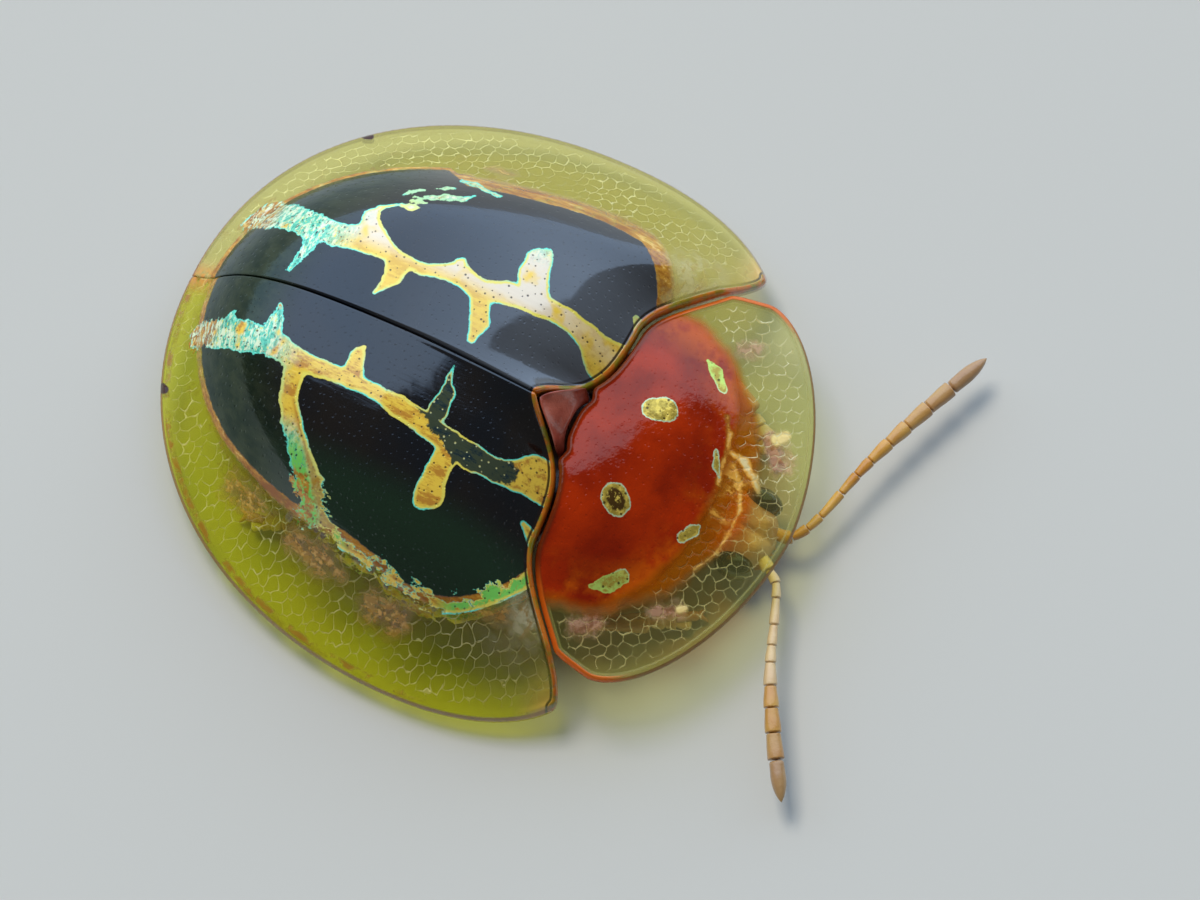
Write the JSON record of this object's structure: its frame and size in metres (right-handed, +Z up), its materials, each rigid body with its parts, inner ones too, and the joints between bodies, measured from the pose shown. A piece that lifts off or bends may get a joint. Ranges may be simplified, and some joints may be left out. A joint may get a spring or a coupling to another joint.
{
  "type": "tortoise beetle",
  "caption": "Life-size tortoise beetle standing still, with domed elytra, a wide clear rim, a hooded pronotum, antennae held forward and legs drawn in beneath.",
  "frame": {"origin": "on the floor, under the middle of the box round the whole beetle", "axes": "+Z up, +Y towards the rear end of the beetle so that it faces -Y, +X towards its left side"},
  "size_m": [0.0068, 0.0088, 0.0024],
  "materials": {
    "elytra": "polished black cuticle with a golden and blue-green metallic band, in a clear amber margin with a net of cells",
    "pronotum": "polished orange-red cuticle with small golden spots, in a clear amber margin with a net of cells",
    "scutellum": "polished red-brown cuticle",
    "body": "satin brown cuticle with faint wrinkles",
    "leg": "amber cuticle, satin, with fine hairs on the tarsi",
    "antenna": "amber cuticle turning grey-brown and downy at the club",
    "eye": "black facetted eye"
  },
  "bodies": {
    "root": {"abdomen": "body", "antenna_left": "antenna", "antenna_right": "antenna", "elytron_left": "elytra", "elytron_right": "elytra", "eye_left": "eye", "eye_right": "eye", "head": "body", "leg_front_left": "leg", "leg_front_right": "leg", "leg_hind_left": "leg", "leg_hind_right": "leg", "leg_middle_left": "leg", "leg_middle_right": "leg", "pronotum": "pronotum", "prothorax": "body", "pterothorax": "body", "scutellum": "scutellum"}
  },
  "joints": []
}
